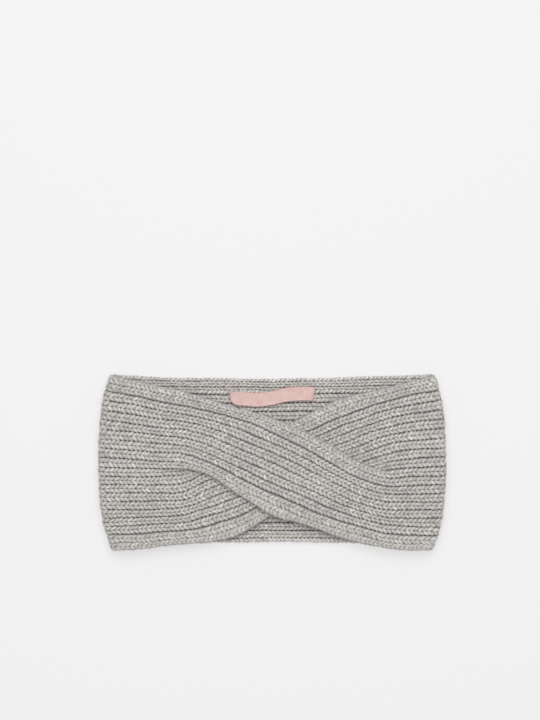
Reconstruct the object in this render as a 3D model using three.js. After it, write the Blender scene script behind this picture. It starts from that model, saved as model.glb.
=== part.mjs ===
// A knitted crossover headband, lying flat.
// Millimetres. X runs along the band, Y across it to the upper edge, Z up from the table.
// The origin is on the table, under the middle of the band.
import * as THREE from "three";

// Driving dimensions of the band
const FLAT_LENGTH = 225; // end to end, lying flat
const HALF_HEIGHT = 56.4; // from the middle line to the edge, at the side folds
const TOP_BOW = 7.2; // how far the upper corners stand back from the middle of an end
const BOTTOM_BOW = 8.8; // and the lower ones
const BOW_POWER = 2.7; // how late along the end the bow sets in
const BOW_FROM = 55; // distance from the middle where the bow starts to be felt

// The knit: ribs on both faces, with those of the inner face behind the grooves of the outer one
const WALL = 4.4; // crest to crest
const RIB_DEPTH = 1.2; // groove between two ribs
const STRIP_RIBS = 10;
const BACK_RIBS = 20;
const CREST_FROM = 0.28; // a rib's flat crest, in ribs from the groove
const CREST_TO = 0.72;
const ROLLED_AT = 0.12; // where the rolled edge meets the inner face, in ribs
const ROLLED_SHARE = 0.8; // and its depth there, as a share of half the wall

// The side folds
const END_HOLLOW = 5.4; // between the two layers, just inside a fold
const PIECE_GAP = 0.3; // between two pieces that meet edge to edge
const FOLD_RADIUS = (END_HOLLOW + WALL) / 2;
const FOLD_HEIGHT = WALL / 2 + FOLD_RADIUS;
const FOLD_START = FLAT_LENGTH / 2 - FOLD_RADIUS - WALL / 2;
const FOLD_RUN = (FOLD_RADIUS * Math.PI) / 2 - PIECE_GAP / 2;

// The crossing
const EASE = 16; // distance over which a strip comes back from the crossing to its own level

// The label: a woven ribbon with its ends turned under
const LABEL_FROM = -25;
const LABEL_TO = 27;
const LABEL_HEIGHT = 9.2;
const LABEL_END_HEIGHT = 8;
const LABEL_ROUNDING = 1.5; // length of the slightly narrower stretch at each end
const LABEL_THICKNESS = 0.8;
const LABEL_BOTTOM = WALL + PIECE_GAP;

// How finely each piece is divided
const FOLD_STEPS = 3;
const STRIP_STEPS = 22;
const BACK_STEPS = 10;
const LABEL_STEPS = 12;

// Where the strips run: height above the middle line of four of their grooves, at places along the band.
// Groove 0 is the bottom edge and groove 10 the top edge.
const STRIP_GROOVES = { bottom: 0, low: 1, high: 8, top: 10 };
const OVER_ROUTE = [
  { x: -112, top: 56.4, high: 46.2, low: 3.2, bottom: -2.5 },
  { x: -88, top: 52.1, high: 42.4, low: 2.0, bottom: -3.3 },
  { x: -72, top: 48.7, high: 39.0, low: 1.0, bottom: -3.6 },
  { x: -56, top: 45.2, high: 36.5, low: 0.2, bottom: -4.0 },
  { x: -40, top: 40.6, high: 33.0, low: -5.5, bottom: -8.6 },
  { x: -20, top: 34.8, high: 27.1, low: -16.2, bottom: -22.0 },
  { x: 0, top: 28.6, high: 19.4, low: -26.0, bottom: -34.2 },
  { x: 20, top: 20.8, high: 9.6, low: -34.3, bottom: -39.9 },
  { x: 40, top: 10.0, high: -1.5, low: -41.7, bottom: -47.7 },
  { x: 56, top: 1.1, high: -10.1, low: -46.0, bottom: -52.0 },
  { x: 72, top: -4.9, high: -14.7, low: -49.9, bottom: -54.2 },
  { x: 88, top: -3.5, high: -14.6, low: -51.5, bottom: -55.9 },
  { x: 112, top: -2.5, high: -14.0, low: -52.2, bottom: -56.4 },
];
const UNDER_ROUTE = [
  { x: -112, top: -2.5, high: -14.1, low: -51.5, bottom: -56.4 },
  { x: -88, top: -3.3, high: -14.2, low: -50.8, bottom: -55.4 },
  { x: -72, top: -3.6, high: -14.3, low: -49.6, bottom: -53.4 },
  { x: -56, top: -2.2, high: -13.4, low: -48.4, bottom: -52.3 },
  { x: -40, top: 4.2, high: -4.8, low: -46.1, bottom: -51.2 },
  { x: -20, top: 12.4, high: 3.1, low: -39.9, bottom: -45.9 },
  { x: 0, top: 20.5, high: 11.1, low: -29.6, bottom: -33.8 },
  { x: 20, top: 29.7, high: 19.0, low: -21.8, bottom: -26.1 },
  { x: 40, top: 39.3, high: 27.8, low: -13.1, bottom: -17.5 },
  { x: 56, top: 44.2, high: 33.7, low: -6.1, bottom: -11.2 },
  { x: 72, top: 47.5, high: 38.8, low: 0.1, bottom: -6.1 },
  { x: 88, top: 51.1, high: 42.7, low: 2.6, bottom: -3.5 },
  { x: 112, top: 56.4, high: 46.6, low: 3.5, bottom: -2.5 },
];

// The back panel's grooves in the same way. Groove 0 is the bottom edge and groove 20 the top edge.
const BACK_GROOVES = { bottom: 0, low: 2, middle: 10, high: 18, top: 20 };
const BACK_ROUTE = [
  { x: -112, top: 56.4, high: 46.3, middle: -2.5, low: -46.6, bottom: -56.4 },
  { x: -60, top: 54.4, high: 46.6, middle: 0.5, low: -43.0, bottom: -52.2 },
  { x: 0, top: 53.6, high: 46.7, middle: 1.5, low: -41.5, bottom: -51.4 },
  { x: 60, top: 55.2, high: 47.2, middle: 0.5, low: -43.0, bottom: -52.4 },
  { x: 112, top: 56.4, high: 46.5, middle: -2.5, low: -46.8, bottom: -56.4 },
];

// Height of the middle of a strip's wall above the table: where it lies alone, over the other or under it.
const LEVELS = [
  { x: -106, alone: 12.0, over: 12.0, under: 12.0 },
  { x: -82, alone: 12.0, over: 12.1, under: 11.8 },
  { x: -60, alone: 11.2, over: 13.2, under: 8.4 },
  { x: -40, alone: 9.8, over: 13.0, under: 8.1 },
  { x: 0, alone: 8.8, over: 12.4, under: 7.5 },
  { x: 40, alone: 9.3, over: 12.8, under: 7.9 },
  { x: 72, alone: 11.6, over: 13.2, under: 8.4 },
  { x: 92, alone: 12.0, over: 12.1, under: 11.8 },
  { x: 106, alone: 12.0, over: 12.0, under: 12.0 },
];

// The label's middle line, which lies in a shallow wave, and how far its upper edge leans to the right.
const LABEL_WAVE = [
  { x: -25, y: 41.2, lift: 0.5, lean: -4.2 },
  { x: -18, y: 40.9, lift: 0.2, lean: -1.5 },
  { x: -10, y: 40.3, lift: 0.1, lean: -0.5 },
  { x: 0, y: 41.5, lift: 0.4, lean: -0.6 },
  { x: 8, y: 43.4, lift: 0.6, lean: -1 },
  { x: 18, y: 44.3, lift: 0.2, lean: 0 },
  { x: 27, y: 44.2, lift: 0.4, lean: 1.4 },
];

// Value of one column of a table at x, on a smooth curve through the rows.
function follow(rows, column, x) {
  const last = rows.length - 1;
  const at = THREE.MathUtils.clamp(x, rows[0].x, rows[last].x);
  const next = Math.max(1, rows.findIndex((row) => at <= row.x));
  const [start, end] = [rows[next - 1], rows[next]];
  const slope = (k) => {
    const before = rows[Math.max(0, k - 1)];
    const after = rows[Math.min(last, k + 1)];
    return (after[column] - before[column]) / (after.x - before.x);
  };
  const span = end.x - start.x;
  const t = (at - start.x) / span;
  const leaving = t * (1 - t) ** 2 * span * slope(next - 1);
  const arriving = -(t ** 2) * (1 - t) * span * slope(next);
  const blend = t ** 2 * (3 - 2 * t);
  return start[column] * (1 - blend) + end[column] * blend + leaving + arriving;
}

// Distance from the middle line to a groove, or to a place between two grooves.
function across(route, grooves, x, rib) {
  const lines = Object.entries(grooves);
  const last = lines.length - 1;
  const above = Math.max(1, lines.findIndex(([, groove], k) => rib <= groove || k === last));
  const [[lowName, low], [highName, high]] = [lines[above - 1], lines[above]];
  const share = (rib - low) / (high - low);
  return follow(route, lowName, x) * (1 - share) + follow(route, highName, x) * share;
}

// A place along the band: how far it has turned round a side fold, and where it is in plan.
function along(run) {
  const turn = Math.max(0, Math.abs(run) - FOLD_START) / FOLD_RADIUS;
  const reach = Math.min(Math.abs(run), FOLD_START) + FOLD_RADIUS * Math.sin(turn);
  return { turn, x: Math.sign(run) * reach };
}

// The corners of the band stand back, so an end is bowed.
function bowed(x, y) {
  const felt = THREE.MathUtils.smoothstep(Math.abs(x), BOW_FROM, FLAT_LENGTH / 2);
  const bow = (y > 0 ? TOP_BOW : BOTTOM_BOW) * Math.abs(y / HALF_HEIGHT) ** BOW_POWER;
  return x - Math.sign(x) * bow * felt;
}

// Height of a strip's middle surface: its level at the crossing, easing out to its level alone.
function stripHeight(x, y, other, level) {
  const above = y - across(other, STRIP_GROOVES, x, STRIP_RIBS);
  const below = across(other, STRIP_GROOVES, x, 0) - y;
  const clear = THREE.MathUtils.smoothstep(Math.max(above, below, 0), 0, EASE);
  return THREE.MathUtils.lerp(follow(LEVELS, level, x), follow(LEVELS, "alone", x), clear);
}

// Middle surface of a strip: a point for each place along the band and each rib across it.
function stripSurface(route, other, level) {
  return (run, rib) => {
    const { turn, x } = along(run);
    const inset = PIECE_GAP * (0.5 - rib / STRIP_RIBS);
    const y = across(route, STRIP_GROOVES, x, rib) + inset;
    const rise = (stripHeight(x, y, other, level) - FOLD_HEIGHT) * Math.cos(turn);
    return new THREE.Vector3(bowed(x, y), y, FOLD_HEIGHT + rise);
  };
}

// Middle surface of the back panel: flat on the table, and turned up at both ends.
function backSurface(run, rib) {
  const { turn, x } = along(run);
  const y = across(BACK_ROUTE, BACK_GROOVES, x, rib);
  return new THREE.Vector3(bowed(x, y), y, FOLD_HEIGHT - FOLD_RADIUS * Math.cos(turn));
}

// Cross-section of a knitted wall, as [rib, depth] points round it: depth is positive on the outer face.
function knitSection(ribs) {
  const face = WALL / 2;
  const groove = face - RIB_DEPTH;
  const rolled = -ROLLED_SHARE * face;
  const outer = [];
  const inner = [[ROLLED_AT, rolled]];
  for (let rib = 0; rib < ribs; rib += 1) {
    outer.push([rib, rib === 0 ? 0 : groove]);
    outer.push([rib + CREST_FROM, face], [rib + CREST_TO, face]);
    const behind = rib + 0.5;
    inner.push([behind, -groove]);
    if (behind + 1 < ribs) {
      inner.push([behind + CREST_FROM, -face], [behind + CREST_TO, -face]);
    }
  }
  inner.push([ribs - ROLLED_AT, rolled]);
  return [...outer, [ribs, 0], ...inner.reverse()];
}

// Places along the band where a piece has a section: evenly along the flat, and round both folds.
function bandRuns(flatSteps) {
  const runs = [];
  for (let i = 0; i <= flatSteps; i += 1) {
    runs.push(FOLD_START * ((2 * i) / flatSteps - 1));
  }
  for (let i = 1; i <= FOLD_STEPS; i += 1) {
    const past = FOLD_START + (FOLD_RUN * i) / FOLD_STEPS;
    runs.unshift(-past);
    runs.push(past);
  }
  return runs;
}

// Outward direction of a surface, from how it runs on either side of a point.
function outward(surface, run, rib, side) {
  const step = 0.05;
  const lengthwise = surface(run + step, rib).sub(surface(run - step, rib));
  const crosswise = surface(run, rib + step).sub(surface(run, rib - step));
  return lengthwise.cross(crosswise).normalize().multiplyScalar(side);
}

// Triangles that fill an end ring, worked out where it lies, because the ends of the band are bowed.
function capTriangles(ring) {
  const outline = ring.map((point) => new THREE.Vector2(point.y, Math.abs(point.x) + point.z));
  return THREE.ShapeUtils.triangulateShape(outline, []);
}

// Closed solid from rings of points, all of one length, with a cap of triangles on each end.
function closedLoft(rings) {
  const size = rings[0].length;
  const points = rings.flat();
  const faces = [];
  for (let ring = 0; ring < rings.length - 1; ring += 1) {
    for (let i = 0; i < size; i += 1) {
      const [a, b] = [ring * size + i, ring * size + ((i + 1) % size)];
      faces.push([a, b + size, b], [a, a + size, b + size]);
    }
  }
  const last = (rings.length - 1) * size;
  for (const [a, b, c] of capTriangles(rings[0])) {
    faces.push([a, c, b]);
  }
  for (const [a, b, c] of capTriangles(rings.at(-1))) {
    faces.push([last + a, last + b, last + c]);
  }
  const geometry = new THREE.BufferGeometry().setFromPoints(points);
  geometry.setIndex(faces.flat());
  return geometry;
}

// A knitted wall: its cross-section carried along the band on its middle surface.
// Its outer face is on the side of the surface that side names: 1 above, -1 below.
function knitWall(surface, ribs, flatSteps, side) {
  const section = knitSection(ribs);
  const rings = bandRuns(flatSteps).map((run) =>
    section.map(([rib, depth]) => {
      const point = surface(run, rib);
      return point.addScaledVector(outward(surface, run, rib, side), depth);
    }),
  );
  return closedLoft(side > 0 ? rings : rings.reverse());
}

// The label: a thin ribbon carried along its wave, a little narrower at its turned ends.
function labelRibbon() {
  const section = [[-0.5, 1], [0.5, 1], [0.5, 0], [-0.5, 0]];
  const rings = [];
  for (let i = 0; i <= LABEL_STEPS; i += 1) {
    const x = THREE.MathUtils.lerp(LABEL_FROM, LABEL_TO, i / LABEL_STEPS);
    const fromEnd = Math.min(x - LABEL_FROM, LABEL_TO - x);
    const full = THREE.MathUtils.smoothstep(fromEnd, 0, LABEL_ROUNDING);
    const height = THREE.MathUtils.lerp(LABEL_END_HEIGHT, LABEL_HEIGHT, full);
    const [y, lift, lean] = ["y", "lift", "lean"].map((column) => follow(LABEL_WAVE, column, x));
    rings.push(section.map(([wide, thick]) => new THREE.Vector3(
      x + wide * lean,
      y + wide * height,
      LABEL_BOTTOM + lift + thick * LABEL_THICKNESS,
    )));
  }
  return closedLoft(rings);
}

const knit = new THREE.MeshStandardMaterial({ color: 0xb7b4b0, roughness: 0.95, metalness: 0 });
const ribbon = new THREE.MeshStandardMaterial({ color: 0xd8b9b4, roughness: 0.6, metalness: 0 });

function piece(name, geometry, material) {
  const mesh = new THREE.Mesh(geometry, material);
  mesh.name = name;
  return mesh;
}

const overSurface = stripSurface(OVER_ROUTE, UNDER_ROUTE, "over");
const underSurface = stripSurface(UNDER_ROUTE, OVER_ROUTE, "under");

const headband = new THREE.Group();
headband.name = "crossover_headband";
headband.add(
  piece("back_panel", knitWall(backSurface, BACK_RIBS, BACK_STEPS, -1), knit),
  piece("over_strip", knitWall(overSurface, STRIP_RIBS, STRIP_STEPS, 1), knit),
  piece("under_strip", knitWall(underSurface, STRIP_RIBS, STRIP_STEPS, 1), knit),
  piece("label", labelRibbon(), ribbon),
);

export default headband;
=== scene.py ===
"""A knitted crossover headband, lying flat on a pale studio floor.

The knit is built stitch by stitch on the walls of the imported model: every stitch is two tapered legs of
yarn, laid on a wall's own surface by the same tables that shape the wall. A place on a wall is its run,
which is its distance along the band from the middle, its rib, counted from the wall's lower edge, and its
depth, which is how far outwards it lies from the middle of the wall. Lengths are millimetres until a mesh is
made, where MM turns them into metres. X runs along the band, Y across it, and Z up from the floor.
"""

import bpy
import numpy as np
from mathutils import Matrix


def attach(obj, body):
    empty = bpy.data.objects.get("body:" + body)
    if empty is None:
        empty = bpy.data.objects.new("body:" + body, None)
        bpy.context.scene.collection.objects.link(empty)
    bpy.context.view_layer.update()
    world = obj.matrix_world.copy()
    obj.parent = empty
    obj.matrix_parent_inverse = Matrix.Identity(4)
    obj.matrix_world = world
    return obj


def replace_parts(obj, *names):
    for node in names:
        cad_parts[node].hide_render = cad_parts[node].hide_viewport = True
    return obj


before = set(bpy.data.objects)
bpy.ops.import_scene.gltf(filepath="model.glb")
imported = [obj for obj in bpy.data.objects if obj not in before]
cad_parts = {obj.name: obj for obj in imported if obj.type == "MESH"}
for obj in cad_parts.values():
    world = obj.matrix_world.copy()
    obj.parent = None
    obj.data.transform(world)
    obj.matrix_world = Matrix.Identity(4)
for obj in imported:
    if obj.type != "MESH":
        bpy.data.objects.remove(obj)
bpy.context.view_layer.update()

MM = 0.001

# The band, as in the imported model
FLAT_LENGTH = 225.0
HALF_HEIGHT = 56.4
TOP_BOW = 7.2  # how far its upper and its lower corners are set back
BOTTOM_BOW = 8.8
BOW_POWER = 2.7
BOW_FROM = 55.0  # where along the band that starts
WALL = 4.4  # thickness of the knit over its ridges
STRIP_RIBS = 10
BACK_RIBS = 20
END_HOLLOW = 5.4  # height of the hollow at the side folds
PIECE_GAP = 0.3
FOLD_RADIUS = (END_HOLLOW + WALL) / 2  # of the middle of the wall round a side fold
FOLD_HEIGHT = WALL / 2 + FOLD_RADIUS
FOLD_START = FLAT_LENGTH / 2 - FOLD_RADIUS - WALL / 2
RUN_END = FOLD_START + FOLD_RADIUS * np.pi / 2 - PIECE_GAP / 2
EASE = 16.0  # how far beside the other strip a strip reaches its level alone
FOLD_LEAD = 1.0  # how far before a side fold the knit starts to stretch
LABEL_BOTTOM = WALL + PIECE_GAP


def table(columns, *rows):
    """A short table, as one array for each named column."""
    return dict(zip(columns.split(), np.array(rows, float).T))


# Height of the edges and of a few grooves in plan, and which groove each column is
OVER_ROUTE = table(
    "x top high low bottom",
    (-112, 56.4, 46.2, 3.2, -2.5),
    (-88, 52.1, 42.4, 2.0, -3.3),
    (-72, 48.7, 39.0, 1.0, -3.6),
    (-56, 45.2, 36.5, 0.2, -4.0),
    (-40, 40.6, 33.0, -5.5, -8.6),
    (-20, 34.8, 27.1, -16.2, -22.0),
    (0, 28.6, 19.4, -26.0, -34.2),
    (20, 20.8, 9.6, -34.3, -39.9),
    (40, 10.0, -1.5, -41.7, -47.7),
    (56, 1.1, -10.1, -46.0, -52.0),
    (72, -4.9, -14.7, -49.9, -54.2),
    (88, -3.5, -14.6, -51.5, -55.9),
    (112, -2.5, -14.0, -52.2, -56.4),
)
UNDER_ROUTE = table(
    "x top high low bottom",
    (-112, -2.5, -14.1, -51.5, -56.4),
    (-88, -3.3, -14.2, -50.8, -55.4),
    (-72, -3.6, -14.3, -49.6, -53.4),
    (-56, -2.2, -13.4, -48.4, -52.3),
    (-40, 4.2, -4.8, -46.1, -51.2),
    (-20, 12.4, 3.1, -39.9, -45.9),
    (0, 20.5, 11.1, -29.6, -33.8),
    (20, 29.7, 19.0, -21.8, -26.1),
    (40, 39.3, 27.8, -13.1, -17.5),
    (56, 44.2, 33.7, -6.1, -11.2),
    (72, 47.5, 38.8, 0.1, -6.1),
    (88, 51.1, 42.7, 2.6, -3.5),
    (112, 56.4, 46.6, 3.5, -2.5),
)
BACK_ROUTE = table(
    "x top high middle low bottom",
    (-112, 56.4, 46.3, -2.5, -46.6, -56.4),
    (-60, 54.4, 46.6, 0.5, -43.0, -52.2),
    (0, 53.6, 46.7, 1.5, -41.5, -51.4),
    (60, 55.2, 47.2, 0.5, -43.0, -52.4),
    (112, 56.4, 46.5, -2.5, -46.8, -56.4),
)
STRIP_GROOVES = {"bottom": 0, "low": 1, "high": 8, "top": 10}
BACK_GROOVES = {"bottom": 0, "low": 2, "middle": 10, "high": 18, "top": 20}

# Height of the middle of a strip above the floor: where it lies alone, and where it lies over or under
LEVELS = table(
    "x alone over under",
    (-106, 12.0, 12.0, 12.0),
    (-82, 12.0, 12.1, 11.8),
    (-60, 11.2, 13.2, 8.4),
    (-40, 9.8, 13.0, 8.1),
    (0, 8.8, 12.4, 7.5),
    (40, 9.3, 12.8, 7.9),
    (72, 11.6, 13.2, 8.4),
    (92, 12.0, 12.1, 11.8),
    (106, 12.0, 12.0, 12.0),
)

# The label's wave: its middle line in plan, how far it stands off the knit, and how far its width leans
LABEL_WAVE = table(
    "x y lift lean",
    (-25, 41.2, 0.5, -4.2),
    (-18, 40.9, 0.2, -1.5),
    (-10, 40.3, 0.1, -0.5),
    (0, 41.5, 0.4, -0.6),
    (8, 43.4, 0.6, -1.0),
    (18, 44.3, 0.2, 0.0),
    (27, 44.2, 0.4, 1.4),
)


def smoothstep(value, low, high):
    """0 below low, 1 above high, and a smooth cubic between them."""
    t = np.clip((value - low) / (high - low), 0, 1)
    return t * t * (3 - 2 * t)


def follow(route, column, x):
    """One column of a table at x: a cubic between rows, as steep at a row as its neighbours' line."""
    knots, values = route["x"], route[column]
    reach = np.pad(knots, 1, mode="edge")
    heights = np.pad(values, 1, mode="edge")
    slopes = (heights[2:] - heights[:-2]) / (reach[2:] - reach[:-2])
    at = np.clip(x, knots[0], knots[-1])
    k = np.clip(np.searchsorted(knots, at) - 1, 0, len(knots) - 2)
    span = knots[k + 1] - knots[k]
    t = (at - knots[k]) / span
    blend = t * t * (3 - 2 * t)
    leaving = t * (1 - t) ** 2 * span * slopes[k]
    arriving = -(t**2) * (1 - t) * span * slopes[k + 1]
    return values[k] * (1 - blend) + values[k + 1] * blend + leaving + arriving


def across(route, grooves, x, rib):
    """Height in plan of a place between two grooves, evenly spaced, and past the edges at the same pitch."""
    marks = np.array(list(grooves.values()), float)
    lines = np.stack([follow(route, name, x) for name in grooves])
    k = np.clip(np.searchsorted(marks, rib) - 1, 0, len(marks) - 2)
    share = (rib - marks[k]) / (marks[k + 1] - marks[k])
    low = np.take_along_axis(lines, k[None], 0)[0]
    high = np.take_along_axis(lines, k[None] + 1, 0)[0]
    return low * (1 - share) + high * share


def along(run):
    """How far a place has turned round a side fold, and its x in plan, which grows by the turn's sine."""
    turn = np.maximum(0, np.abs(run) - FOLD_START) / FOLD_RADIUS
    reach = np.minimum(np.abs(run), FOLD_START) + FOLD_RADIUS * np.sin(turn)
    return turn, np.sign(run) * reach


def folded(run):
    """0 along the flat, and up to 1 round a side fold."""
    return smoothstep(np.abs(run), FOLD_START - FOLD_LEAD, RUN_END)


def bowed(x, y):
    """x, with the corners of the band set back by a high power of their distance from the middle line."""
    felt = smoothstep(np.abs(x), BOW_FROM, FLAT_LENGTH / 2)
    bow = np.where(y > 0, TOP_BOW, BOTTOM_BOW) * np.abs(y / HALF_HEIGHT) ** BOW_POWER
    return x - np.sign(x) * bow * felt


def strip_surface(route, other, level):
    """Middle surface of a strip: it has its level at the crossing, and eases out to its level alone."""

    def surface(run, rib):
        turn, x = along(run)
        y = across(route, STRIP_GROOVES, x, rib) + PIECE_GAP * (0.5 - rib / STRIP_RIBS)
        past_top = y - across(other, STRIP_GROOVES, x, np.full_like(x, STRIP_RIBS))
        past_bottom = across(other, STRIP_GROOVES, x, np.zeros_like(x)) - y
        clear = smoothstep(np.maximum(past_top, past_bottom), 0, EASE)
        height = follow(LEVELS, level, x) * (1 - clear) + follow(LEVELS, "alone", x) * clear
        z = FOLD_HEIGHT + (height - FOLD_HEIGHT) * np.cos(turn)
        return np.stack([bowed(x, y), y, z], -1)

    return surface


def back_surface(run, rib):
    """Middle surface of the back panel: flat on the floor, with a quarter circle up at each end."""
    turn, x = along(run)
    y = across(BACK_ROUTE, BACK_GROOVES, x, rib)
    return np.stack([bowed(x, y), y, FOLD_HEIGHT - FOLD_RADIUS * np.cos(turn)], -1)


STITCH_PITCH = 2.9  # from one stitch to the next along a rib
COURSE_SAMPLES = 900  # places where a rib is measured, to space its stitches evenly


class Wall:
    """A knitted wall: its middle surface, its ribs, which way its outer face looks, and how it was knitted.

    side is 1 where the outer face looks up and -1 where it looks down. knitted is 1 where the stitches open
    to the right and -1 where they open to the left. loose_low and loose_high say, from 0 to 1 along the
    band, where the wall's two long edges are free and so rolled.
    """

    STEP = 0.05  # for differences, in millimetres along the band and in ribs across it

    def __init__(self, surface, ribs, side, knitted, loose_low, loose_high):
        self.surface = surface
        self.ribs = ribs
        self.side = side
        self.knitted = knitted
        self.loose = (loose_low, loose_high)

    def tangents(self, run, rib):
        """How the surface moves for a unit of run and for a rib, by differences."""
        d = self.STEP
        lengthwise = (self.surface(run + d, rib) - self.surface(run - d, rib)) / (2 * d)
        crosswise = (self.surface(run, rib + d) - self.surface(run, rib - d)) / (2 * d)
        return lengthwise, crosswise

    def point(self, run, rib, depth):
        """A point of the wall: the middle surface, plus depth along its outward direction."""
        lengthwise, crosswise = self.tangents(run, rib)
        outward = np.cross(lengthwise, crosswise)
        outward *= self.side / np.linalg.norm(outward, axis=-1, keepdims=True)
        return self.surface(run, rib) + outward * depth[..., None]

    def metrics(self, run, rib):
        """How long a unit of run is, how far the next rib is shifted along the ribs, and its distance."""
        lengthwise, crosswise = self.tangents(run, rib)
        unit = np.linalg.norm(lengthwise, axis=-1)
        skew = (lengthwise * crosswise).sum(-1) / unit
        return unit, skew, np.sqrt((crosswise**2).sum(-1) - skew**2)

    def courses(self, rib):
        """Runs of the stitches of one rib, evenly spaced by its length. The middle one sets their number."""
        run = np.linspace(-RUN_END, RUN_END, COURSE_SAMPLES)
        points = self.surface(run, np.full_like(run, rib))
        length = np.append(0, np.cumsum(np.linalg.norm(np.diff(points, axis=0), axis=-1)))
        middle = self.surface(run, np.full_like(run, self.ribs / 2))
        count = round(np.linalg.norm(np.diff(middle, axis=0), axis=-1).sum() / STITCH_PITCH)
        return np.interp((np.arange(count) + 0.5) / count * length[-1], length, run)


def always(run):
    """1 everywhere along the band."""
    return np.ones_like(run)


def until(place, blend):
    """1 to the left of a place along the band, 0 to the right of it."""
    return lambda run: 1 - smoothstep(run, place - blend, place + blend)


def beyond(place, blend):
    """0 to the left of a place along the band, 1 to the right of it."""
    return lambda run: smoothstep(run, place - blend, place + blend)


# Where the front divides into its two strips, and how far on each side of that an edge comes free
LEFT_SPLIT = -57.0
RIGHT_SPLIT = 73.0
SPLIT_BLEND = 6.0

over_wall = Wall(strip_surface(OVER_ROUTE, UNDER_ROUTE, "over"), STRIP_RIBS, 1, 1,
                 beyond(LEFT_SPLIT, SPLIT_BLEND), until(RIGHT_SPLIT, SPLIT_BLEND))
under_wall = Wall(strip_surface(UNDER_ROUTE, OVER_ROUTE, "under"), STRIP_RIBS, 1, 1,
                  until(RIGHT_SPLIT, SPLIT_BLEND), beyond(LEFT_SPLIT, SPLIT_BLEND))
back_wall = Wall(back_surface, BACK_RIBS, -1, -1, always, always)


def tube_points(path, reference, width, height, sides):
    """Rings round many paths at once: an ellipse square to each path, with its height towards reference.

    path and reference are (tubes, rings, 3), and width and height (tubes, rings). A ring starts at its
    underside, and one of its points is on top.
    """
    heading = np.gradient(path, axis=1)
    heading /= np.linalg.norm(heading, axis=-1, keepdims=True)
    aside = np.cross(heading, reference)
    aside /= np.linalg.norm(aside, axis=-1, keepdims=True)
    up = np.cross(aside, heading)
    angle = ((np.arange(sides) + sides % 2 / 2) / sides * 2 - 0.5) * np.pi
    ring = (aside * width[..., None])[:, :, None] * np.cos(angle)[:, None]
    ring = ring + (up * height[..., None])[:, :, None] * np.sin(angle)[:, None]
    return path[:, :, None] + ring


def tube_tips(rings, sides):
    """Which points of a tube are kept: one for each of its two tips, and all of the rings between them."""
    kept = np.ones((rings, sides), bool)
    kept[[0, -1], 1:] = False
    return kept


def corner_uv(*corners):
    """UV of faces given corner by corner, as pairs of numbers or arrays."""
    return np.stack([np.stack(np.broadcast_arrays(u, v), -1) for u, v in corners], -2)


def ring_quads(rings, size, first=0):
    """The quads that join each ring of points to the next one. The first ring starts at the point first."""
    k = np.arange(size)
    n = (k + 1) % size
    start = first + np.arange(rings - 1)[:, None] * size
    return np.stack([start + k, start + size + k, start + size + n, start + n], -1).reshape(-1, 4)


def tube_faces(tubes, stations, sides):
    """Faces of closed tubes with single points for tips, and the UV of each face's corners.

    u runs along a tube as the stations do, and v once round it.
    """
    rings = len(stations)
    per_tube = (rings - 2) * sides + 2
    k = np.arange(sides)
    n = (k + 1) % sides
    v, next_v = k / sides, (k + 1) / sides
    quads = ring_quads(rings - 2, sides, 1)
    u, next_u = (np.array(stations, float)[a:b, None] for a, b in ((1, -2), (2, -1)))
    quad_uv = corner_uv((u, v), (next_u, v), (next_u, next_v), (u, next_v)).reshape(-1, 4, 2)
    last = per_tube - 1
    end = last - sides
    start_tris = np.stack([0 * k, 1 + k, 1 + n], -1)
    end_tris = np.stack([0 * k + last, end + n, end + k], -1)
    tris = np.concatenate([start_tris, end_tris])
    middle = (v + next_v) / 2
    start_uv = corner_uv((stations[0], middle), (stations[1], v), (stations[1], next_v))
    end_uv = corner_uv((stations[-1], middle), (stations[-2], next_v), (stations[-2], v))
    tri_uv = np.concatenate([start_uv, end_uv])
    offset = np.arange(tubes)[:, None, None] * per_tube
    quads, tris = (quads + offset).reshape(-1, 4), (tris + offset).reshape(-1, 3)
    return (quads, tris), (np.tile(quad_uv, (tubes, 1, 1)), np.tile(tri_uv, (tubes, 1, 1)))


def uneven(points):
    """Shifts what is knitted by a few tenths of a millimetre, so that no rib is quite straight.

    The shift across the band and the one along it are sums of sines of x and y, long ones and short ones.
    """
    x, y = points[:, 0].copy(), points[:, 1].copy()
    points[:, 1] += 0.16 * np.sin(x / 8 + y / 2.9) + 0.2 * np.sin(x / 21 - y / 4.5 + 2)
    points[:, 1] += 0.1 * np.sin(x / 1.9 + 2.5 * np.sin(y / 3.1)) + 0.08 * np.sin(x / 0.97 + y * 1.3)
    points[:, 0] += 0.15 * np.sin(y / 6 + x / 13) + 0.12 * np.sin(x / 3.1 + y / 1.7)
    return points


def new_object(name, data):
    """A new object of the scene, at the origin."""
    obj = bpy.data.objects.new(name, data)
    bpy.context.scene.collection.objects.link(obj)
    return obj


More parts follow.
